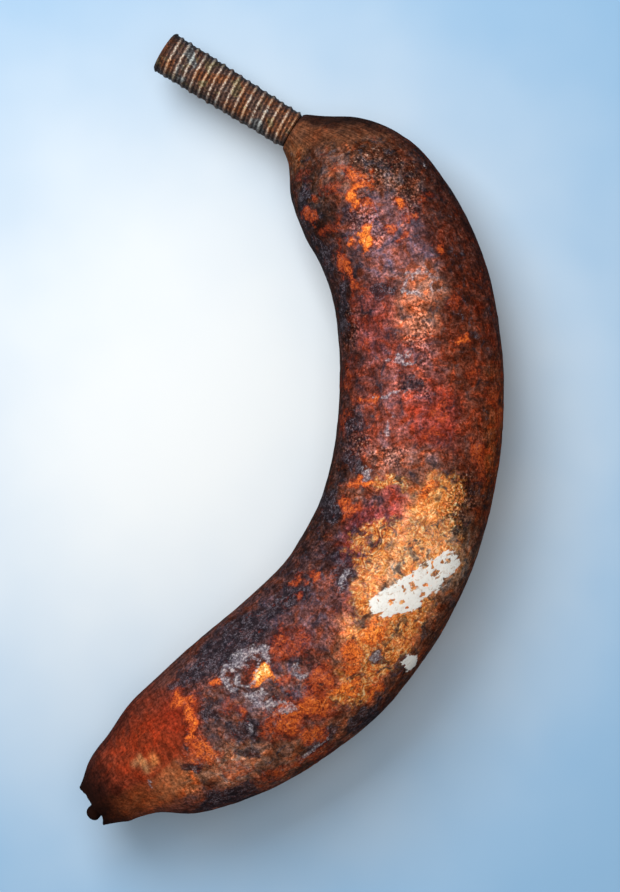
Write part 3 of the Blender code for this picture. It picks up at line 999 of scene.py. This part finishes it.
    lace = g.math("MAXIMUM", thread, g.noise(1.2, 5, 0.7, 1.6, at=g.shifted((71, 12, 44))))
    flake = g.torn(g.field("flake"), lace, 1.2, 0.2)
    shown = g.math("MAXIMUM", g.step(g.field("flake"), 0.02, 0.25), g.times(wild, 0.28))
    flake = g.times(flake, shown)
    lilac = g.ramp(
        grit, (0.15, 0.10, 0.070, 0.085), (0.50, 0.25, 0.23, 0.27), (0.92, 0.82, 0.75, 0.74),
    )
    colour = g.mix(g.times(flake, 0.60), colour, lilac)

    height = g.math("MULTIPLY_ADD", fine, 0.6, g.times(grit, 0.3))
    height = g.math("MULTIPLY_ADD", crack, -0.5, height)
    height = g.math("MULTIPLY_ADD", bloom, 0.3, height)
    height = g.math("MULTIPLY_ADD", flake, 0.5, height)
    return colour, height, fine, tear


def body_material(paint_colour):
    """Rust over iron: a skin whose colour wanders, finishes laid on by fields, and worn paint, with
    painted shade darkening the sides as seen from above.
    """
    g = Graph("rusted_iron")
    colour, height, fine, tear = rust_layers(g)
    colour = g.mix(g.times(g.field("soot"), 0.92), colour, (0.010, 0.004, 0.003, 1))
    # Painted shade: the skin is darkened towards the sides as seen from above.
    painted_flank_shade = g.times(g.field("flank_shade"), 0.58)
    colour = g.mix(painted_flank_shade, colour, (0.16, 0.11, 0.10, 1), "MULTIPLY")

    turned = g.put("ShaderNodeMapping", {"Vector": g.mm, "Rotation": (0, 0, math.radians(-28))})
    bristle = g.noise(0.9, 3, 0.6, at=g.stretched((0.12, 1.0, 0.4), turned.outputs[0]))
    worn = g.swayed(g.swayed(g.field("paint"), tear, 1.5), bristle, 1.3)
    pits = g.step(g.noise(1.7, 1, 0.5, 0.2, at=g.shifted((28, 6, 90))), 0.80, 0.86)
    painted = g.times(g.step(worn, -0.1, 0.3), g.math("SUBTRACT", 1.0, pits))
    stain = g.step(g.noise(1.0, 5, 0.7, 0.6, at=g.shifted((2, 66, 31))), 0.55, 0.95)
    white = g.mix(g.times(stain, 0.8), (*paint_colour, 1), (0.50, 0.33, 0.21, 1))
    # Painted shade: the white paint is darkened towards the sides as well.
    shade = g.times(g.field("flank_shade"), 0.6)
    white = g.mix(shade, white, (0.4, 0.38, 0.34, 1), "MULTIPLY")
    colour = g.mix(g.times(painted, 0.95), colour, white)

    rough = g.step(fine, 0.1, 0.9, 0.72, 0.95)
    height = g.math("MULTIPLY_ADD", painted, 0.5, height)
    g.tree.links.new(colour, g.shader.inputs["Base Color"])
    g.tree.links.new(rough, g.shader.inputs["Roughness"])
    bump = g.put("ShaderNodeBump", {"Height": height, "Strength": 0.4, "Distance": 0.22 * MM})
    g.tree.links.new(bump.outputs["Normal"], g.shader.inputs["Normal"])
    g.shader.inputs["Specular IOR Level"].default_value = 0.02
    return g.material


def stem_material():
    """Rusted steel thread: roots painted near-black as shade in the grooves, brown flanks, and
    crests painted pale, partly as wear and partly as a painted highlight; orange in places.
    """
    g = Graph("rusted_thread")
    fine = g.noise(0.6, 4, 0.7, 0.4)
    grit = g.noise(0.4, 2, 0.7, at=g.shifted((12, 5, 61)))
    broad = g.noise(5.5, 3, 0.5, 0.5)
    patch = g.noise(3.2, 3, 0.5, 0.4, at=g.shifted((14, 52, 8)))
    # The ramps below run from roots painted near-black as shade in the grooves to crests painted
    # pale, partly worn and partly a painted highlight.
    worn = g.swayed(g.field("crest"), fine, 0.70)
    brown = g.ramp(
        worn,
        (0.22, 0.008, 0.005, 0.005), (0.52, 0.050, 0.024, 0.018), (0.78, 0.145, 0.074, 0.050),
        (0.92, 0.25, 0.16, 0.12), (1.0, 0.52, 0.43, 0.35),
    )
    orange = g.ramp(
        worn,
        (0.22, 0.012, 0.005, 0.003), (0.54, 0.085, 0.026, 0.009), (0.82, 0.24, 0.075, 0.024),
        (1.0, 0.50, 0.30, 0.18),
    )
    ochre = g.ramp(
        worn,
        (0.22, 0.009, 0.007, 0.004), (0.52, 0.065, 0.043, 0.020), (0.82, 0.20, 0.135, 0.062),
        (1.0, 0.50, 0.43, 0.27),
    )
    slate = g.ramp(
        worn, (0.22, 0.008, 0.008, 0.010), (0.60, 0.075, 0.072, 0.074), (1.0, 0.42, 0.44, 0.42),
    )
    colour = g.mix(g.step(broad, 0.48, 0.72), brown, orange)
    colour = g.mix(g.step(patch, 0.58, 0.82), colour, ochre)
    colour = g.mix(g.step(broad, 0.32, 0.15), colour, slate)
    colour = g.scaled(colour, g.step(grit, 0.1, 0.9, 0.55, 1.35))
    # Painted shade: the rod is darkened towards its sides as seen from above.
    shade = g.times(g.field("flank_shade"), 0.88)
    colour = g.mix(shade, colour, (0.10, 0.08, 0.09, 1), "MULTIPLY")
    g.tree.links.new(colour, g.shader.inputs["Base Color"])
    g.tree.links.new(g.step(worn, 0.2, 1.0, 0.85, 0.55), g.shader.inputs["Roughness"])
    bump = g.put("ShaderNodeBump", {"Height": fine, "Strength": 0.6, "Distance": 0.2 * MM})
    g.tree.links.new(bump.outputs["Normal"], g.shader.inputs["Normal"])
    g.shader.inputs["Specular IOR Level"].default_value = 0.2
    return g.material


def floor_material(colour, falloff_colour):
    """A pale matt board, white in the middle, and with a wide, darker blue band round that: partly
    a blue tint and partly a painted falloff of light towards the corners.
    """
    g = Graph("pale_board")
    away = g.vector("DISTANCE", {0: g.mm, 1: (-22, 4, 0)}, "Value")
    mottle = g.math("MULTIPLY_ADD", g.noise(30, 2, 0.5), 14, away)
    # Painted falloff of light: darker and bluer away from the pale centre, as well as a blue tint.
    tint = g.mix(g.step(mottle, 12, 152), (*colour, 1), (*falloff_colour, 1))
    tint = g.mix(g.step(mottle, 220, 900), tint, (*colour, 1))
    g.tree.links.new(tint, g.shader.inputs["Base Color"])
    g.shader.inputs["Roughness"].default_value = 0.9
    g.shader.inputs["Specular IOR Level"].default_value = 0.2
    return g.material


def area_light(name, place, aim, size, watts, colour):
    """A square area light at a place in metres, turned to its aim."""
    lamp = bpy.data.lights.new(name, "AREA")
    lamp.size = size
    lamp.energy = watts
    lamp.color = colour
    light = bpy.data.objects.new(name, lamp)
    bpy.context.scene.collection.objects.link(light)
    light.location = place
    light.rotation_euler = (aim - light.location).to_track_quat("-Z", "Y").to_euler()


class BANANA_OT_body(Operator):
    """Adds the rusted iron body, which stands for the CAD body"""

    bl_idname = "banana.body"
    bl_label = "Iron Body"

    def execute(self, context):
        settings = in_mm(context.scene.iron_banana_body)
        flat, share, turn = body_surface(settings)
        points = laid_down(flat)
        fields = body_fields(points, share, turn, settings)
        out = flat - flat.mean(axis=1, keepdims=True)
        out = laid_down(out) - laid_down(0 * out)
        out /= np.linalg.norm(out, axis=-1, keepdims=True)
        relief = settings.relief * body_relief(points, share, fields)
        points = points + out * relief[..., None]
        points[..., 2] = np.maximum(points[..., 2], 0)
        material = body_material(settings.paint)
        piece = closed_mesh("rusted_body", points, fields, material)
        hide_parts("body")
        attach(piece, "root")
        return {"FINISHED"}


class BANANA_OT_stem(Operator):
    """Adds the threaded rod, which stands for the CAD stem"""

    bl_idname = "banana.stem"
    bl_label = "Threaded Stem"

    def execute(self, context):
        rings, crest = stem_surface(in_mm(context.scene.iron_banana_stem))
        heading = -math.radians(STATIONS[0][1])
        out = -np.array([math.cos(heading), math.sin(heading), 0])
        side = np.array([-out[1], out[0], 0])
        up = np.array([0, 0, 1])
        flat = rings[..., :1] * side + rings[..., 1:2] * up + rings[..., 2:] * out
        points = laid_down(flat)
        # Painted shade: the rod's sides, as seen from above, are darkened in its colour by this
        # value.
        facing = np.abs(rings[..., 1]) / np.linalg.norm(rings[..., :2], axis=-1)
        fields = {"crest": crest, "flank_shade": 1 - ramped(facing, 0.35, 0.92)}
        piece = closed_mesh("threaded_rod", points, fields, stem_material())
        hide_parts("threaded_stem")
        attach(piece, "root")
        return {"FINISHED"}


class BANANA_OT_studio(Operator):
    """Adds the floor, the lights and the camera"""

    bl_idname = "banana.studio"
    bl_label = "Studio"

    def execute(self, context):
        settings = context.scene.iron_banana_studio
        scene = context.scene
        low, high = cad_box
        middle = (low + high) / 2
        mesh = bpy.data.meshes.new("floor")
        reach = 4.0
        corners = [(-reach, -reach, 0), (reach, -reach, 0), (reach, reach, 0), (-reach, reach, 0)]
        mesh.from_pydata(corners, [], [(0, 1, 2, 3)])
        mesh.materials.append(floor_material(settings.floor, settings.edge))
        floor = bpy.data.objects.new("floor", mesh)
        scene.collection.objects.link(floor)

        world = bpy.data.worlds.new("studio")
        world.use_nodes = True
        glow = world.node_tree.nodes["Background"]
        glow.inputs["Color"].default_value = (1.0, 0.90, 0.80, 1)
        glow.inputs["Strength"].default_value = 0.38
        scene.world = world
        aim = middle.copy()
        area_light("key", (-0.19, 0.29, 0.52), aim, 0.38, 3.4, (0.94, 0.98, 1.0))
        area_light("top", (0.0, 0.05, 1.3), aim, 0.7, 4.5, (0.96, 0.98, 1.0))
        scene.view_settings.view_transform = "Standard"

        lens = bpy.data.cameras.new("camera")
        camera = bpy.data.objects.new("camera", lens)
        scene.collection.objects.link(camera)
        scene.camera = camera
        lens.sensor_width = 36
        lens.lens = lens.sensor_width * (settings.distance - middle.z) / settings.view_height
        camera.location = (0.0043, -0.0041, settings.distance)
        camera.rotation_euler = (0, 0, 0)
        return {"FINISHED"}


class BANANA_PT_panel(Panel):
    """Lists the banana's pieces in the sidebar"""

    bl_label = "Iron Banana"
    bl_space_type = "VIEW_3D"
    bl_region_type = "UI"
    bl_category = "Iron Banana"

    def draw(self, context):
        for kind in (BANANA_OT_body, BANANA_OT_stem, BANANA_OT_studio):
            self.layout.operator(kind.bl_idname)
        for group in ("iron_banana_body", "iron_banana_stem", "iron_banana_studio"):
            settings = getattr(context.scene, group)
            for name in settings.__annotations__:
                self.layout.prop(settings, name)


SETTINGS = {
    "iron_banana_body": BodySettings,
    "iron_banana_stem": StemSettings,
    "iron_banana_studio": StudioSettings,
}
CLASSES = (*SETTINGS.values(), BANANA_OT_body, BANANA_OT_stem, BANANA_OT_studio, BANANA_PT_panel)


def register():
    for kind in CLASSES:
        bpy.utils.register_class(kind)
    for name, kind in SETTINGS.items():
        setattr(bpy.types.Scene, name, PointerProperty(type=kind))


def unregister():
    for name in SETTINGS:
        delattr(bpy.types.Scene, name)
    for kind in reversed(CLASSES):
        bpy.utils.unregister_class(kind)


def main():
    register()
    bpy.ops.banana.body()
    bpy.ops.banana.stem()
    bpy.ops.banana.studio()


if __name__ == "__main__":
    main()
